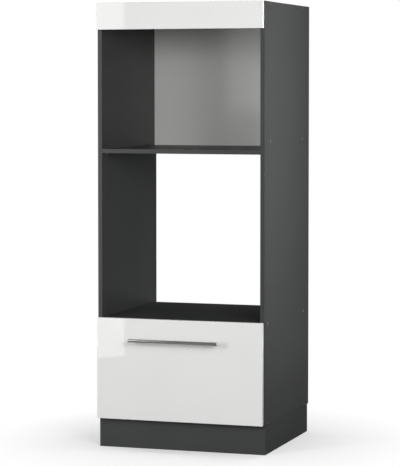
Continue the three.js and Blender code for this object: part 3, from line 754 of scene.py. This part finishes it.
roller_profile = [(-ROLLER_HALF, 0.0028), (-ROLLER_HALF, 0.0046), (-0.0022, 0.0049),
                  (-0.0022, 0.0086), (-ROLLER_HALF, 0.0091), (-ROLLER_HALF, 0.01025),
                  (-0.003, 0.0107), (-0.0025, ROLLER_RADIUS)]
roller_profile += [(-at, radius) for at, radius in reversed(roller_profile)] + roller_profile[:1]
runner_screw_profile = [(0, 0.0030), (0.0001, 0.0034), (RUNNER_SCREW_HEAD, 0.0034),
                        (RUNNER_SCREW_HEAD, 0.002), (0.009, 0.0019), (0.0115, 0.0005)]
for side, outwards in (("left", -1), ("right", 1)):
    for node in (f"cabinet_runner_{side}", f"drawer_runner_{side}"):
        runner = from_cad(node)
        round_arrises(runner, THIN_ARRIS)
        finish_piece(runner, enamel.material)
    lo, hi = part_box(f"cabinet_runner_{side}")
    web = (hi.x if outwards > 0 else lo.x) - outwards * RUNNER_SHEET
    member_lo, member_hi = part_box(f"drawer_side_{side}")
    box_face = member_hi.x if outwards > 0 else member_lo.x
    member_web = box_face + outwards * (RUNNER_GAP + RUNNER_SHEET)
    height = (lo.z + hi.z) / 2
    for place, depth in RUNNER_SCREW_DEPTHS:
        fastener(f"runner_screw_{side}_{place}", runner_screw_profile,
                 (web - outwards * RUNNER_SCREW_HEAD / 2, lo.y + depth, height),
                 "X", outwards, "carcass", recess=RUNNER_SCREW_RECESS)
        fastener(f"drawer_runner_screw_{side}_{place}", runner_screw_profile,
                 (member_web + outwards * RUNNER_SCREW_HEAD, lo.y + depth - MEMBER_SCREW_SHIFT,
                  height), "X", -outwards, "drawer", recess=RUNNER_SCREW_RECESS)
    for member in ("cabinet", "drawer"):
        node = f"{member}_roller_{side}"
        roller = lathe(node + "_turned", roller_profile, middle(node), sides=64, bored=True)
        stand_in(roller, node, nylon.material)
        rivet = from_cad(f"{member}_roller_rivet_{side}")
        round_arrises(rivet, THIN_ARRIS)
        finish_piece(rivet, zinc.material)

# ------------------------------------------------------------------ floor
# A pale studio floor that takes the cabinet's soft shadow near it and runs out into the
# white background. The camera sees it darker with an even glow added, which softens the
# shadow, and gloss sees only a dimmed floor in front.

GLOW = 0.28
GLOSS_SHARE = 0.25
bpy.ops.object.select_all(action="DESELECT")
bpy.ops.mesh.primitive_plane_add(size=60, location=(0, 0, 0))
floor = bpy.context.object
floor.name = "studio_floor"
ground = Finish("pale_studio_floor")
ground.shader.inputs["Roughness"].default_value = 0.9
ground.shader.inputs["Specular IOR Level"].default_value = 0.1
path = ground.add("ShaderNodeLightPath").outputs
pale = ground.ramp(ground.noise(3), (0.3, (0.80, 0.80, 0.80, 1)), (0.7, (0.82, 0.82, 0.82, 1)))
ground.colour(ground.blend(path["Is Camera Ray"], (0.15, 0.15, 0.15, 1), pale))
glow = ground.add("ShaderNodeEmission")
ground.join(ground.reckon("MULTIPLY", path["Is Camera Ray"], GLOW), glow.inputs["Strength"])
near_floor = ground.add("ShaderNodeAddShader")
ground.join(ground.shader.outputs[0], near_floor.inputs[0])
ground.join(glow.outputs[0], near_floor.inputs[1])
far_floor = ground.add("ShaderNodeEmission")
far_floor.inputs["Strength"].default_value = 1
distance = ground.add("ShaderNodeVectorMath", operation="LENGTH")
ground.join(ground.stretched((1.1, 1.02, 1)), distance.inputs[0])
away = ground.ranged(distance.outputs["Value"], 0, 1, 0.3, 0.85)
in_front = ground.ranged(ground.axes()[1], GLOSS_SHARE, 0, -0.8, 0.4)
seen_straight = ground.reckon("MAXIMUM", path["Is Camera Ray"], path["Is Transmission Ray"])
seen_in_gloss = ground.reckon("MULTIPLY", path["Is Glossy Ray"], in_front)
seen = ground.reckon("MAXIMUM", seen_straight, seen_in_gloss)
spread = ground.add("ShaderNodeMixShader")
ground.join(ground.reckon("MULTIPLY", away, seen), spread.inputs["Fac"])
ground.join(near_floor.outputs[0], spread.inputs[1])
ground.join(far_floor.outputs[0], spread.inputs[2])
ground.join(spread.outputs[0], ground.tree.nodes["Material Output"].inputs["Surface"])
floor.data.materials.append(ground.material)

# ------------------------------------------------------------------ light
# A surround that is white for the camera and dimmed for gloss and for fill, and lamps all
# round. The tall card at the left is the one whose reflection shows on the white fronts,
# and the rear lamp lights what shows from behind.

FILL = 0.19
world = bpy.data.worlds.new("studio")
bpy.context.scene.world = world
world.use_nodes = True
sky = Nodes(world.node_tree)
ray = sky.add("ShaderNodeLightPath").outputs
direction = sky.add("ShaderNodeSeparateXYZ")
sky.join(sky.add("ShaderNodeTexCoord").outputs["Generated"], direction.inputs[0])
towards_x, towards_y, towards_z = direction.outputs
rear_strength = sky.ranged(towards_x, 0.01, 0.08, -0.2, 0.2, "SMOOTHSTEP")
level_strength = sky.ranged(towards_y, 0.13, rear_strength, 0.1, 0.7, "SMOOTHSTEP")
overhead_strength = sky.ranged(towards_z, level_strength, 0.4, 0.45, 0.95, "SMOOTHSTEP")
straight = sky.reckon("MAXIMUM", ray["Is Camera Ray"], ray["Is Transmission Ray"])
reflected = sky.reckon("MULTIPLY", ray["Is Glossy Ray"], overhead_strength)
filling = sky.reckon("MULTIPLY", ray["Is Diffuse Ray"], FILL)
background = sky.tree.nodes["Background"]
background.inputs["Color"].default_value = (1, 1, 1, 1)
sky.join(sky.reckon("MAXIMUM", sky.reckon("MAXIMUM", straight, reflected), filling),
         background.inputs["Strength"])


def soft_box(name, place, target, size, watts, beam=180):
    """A rectangular lamp at place that faces target. Its size is (width, height), and its
    beam spreads over that many degrees."""
    data = bpy.data.lights.new(name, "AREA")
    data.shape = "RECTANGLE"
    data.size, data.size_y = size
    data.energy = watts
    data.spread = math.radians(beam)
    lamp = bpy.data.objects.new(name, data)
    bpy.context.scene.collection.objects.link(lamp)
    lamp.location = place
    lamp.rotation_euler = (Vector(target) - Vector(place)).to_track_quat("-Z", "Y").to_euler()
    lamp.visible_camera = False
    return lamp


soft_box("left_card", (-1.217, -2.304, 1.1165), (-0.474, -1.635, 1.1165), (0.55, 2.2), 10.3)
soft_box("left_soft_box", (-2.8, -4.5, 1.8), (0, 0, 1.0), (0.9, 1.4), 50)
soft_box("low_left_soft_box", (-1.58, -2.6, 0.5), (0.1, 0.3, 1.2), (0.4, 0.28), 8)
soft_box("right_soft_box", (1.97, -2.5, 1.6), (0, 0, 1.1), (1.5, 1.0), 35)
soft_box("far_right_soft_box", (3.1, -5.0, 1.7), (0, 0, 0.9), (1.6, 1.1), 58)
soft_box("front_soft_box", (0.0, -5.4, 1.75), (0, 0, 1.0), (1.6, 1.4), 22)
soft_box("side_soft_box", (1.9, -0.12, 1.25), (0.3, -0.12, 1.25), (0.25, 1.5), 5.4, beam=60)
soft_box("left_side_soft_box", (-2.6, 0.3, 1.3), (0, 0.1, 0.8), (0.8, 1.4), 13)
soft_box("top_soft_box", (0.2, 0.6, 3.4), (0.1, 0.2, 0.6), (2.4, 1.6), 20)
rear_lamp = soft_box("rear_soft_box", (0.9, 3.2, 0.45), (0, 0.3, 0.75), (1.2, 0.8), 67)
rear_lamp.visible_glossy = False

# ------------------------------------------------------------------ camera
# It looks at the cabinet from the right, seven metres off and 1.24 m above the floor, and
# tilts down by three degrees. A small drop of the lens brings in the rest of the height,
# so that the uprights stay nearly parallel.

camera_data = bpy.data.cameras.new("camera")
camera_data.sensor_width = 36
camera_data.lens = 160.677
camera_data.shift_y = -0.08
camera_data.clip_end = 100
camera = bpy.data.objects.new("camera", camera_data)
bpy.context.scene.collection.objects.link(camera)
camera.location = (2.29928, -6.95010, 1.23923)
camera.rotation_euler = (math.radians(90 - 2.91984), 0, math.radians(18.39608))
bpy.context.scene.camera = camera
bpy.context.scene.view_settings.view_transform = "Standard"
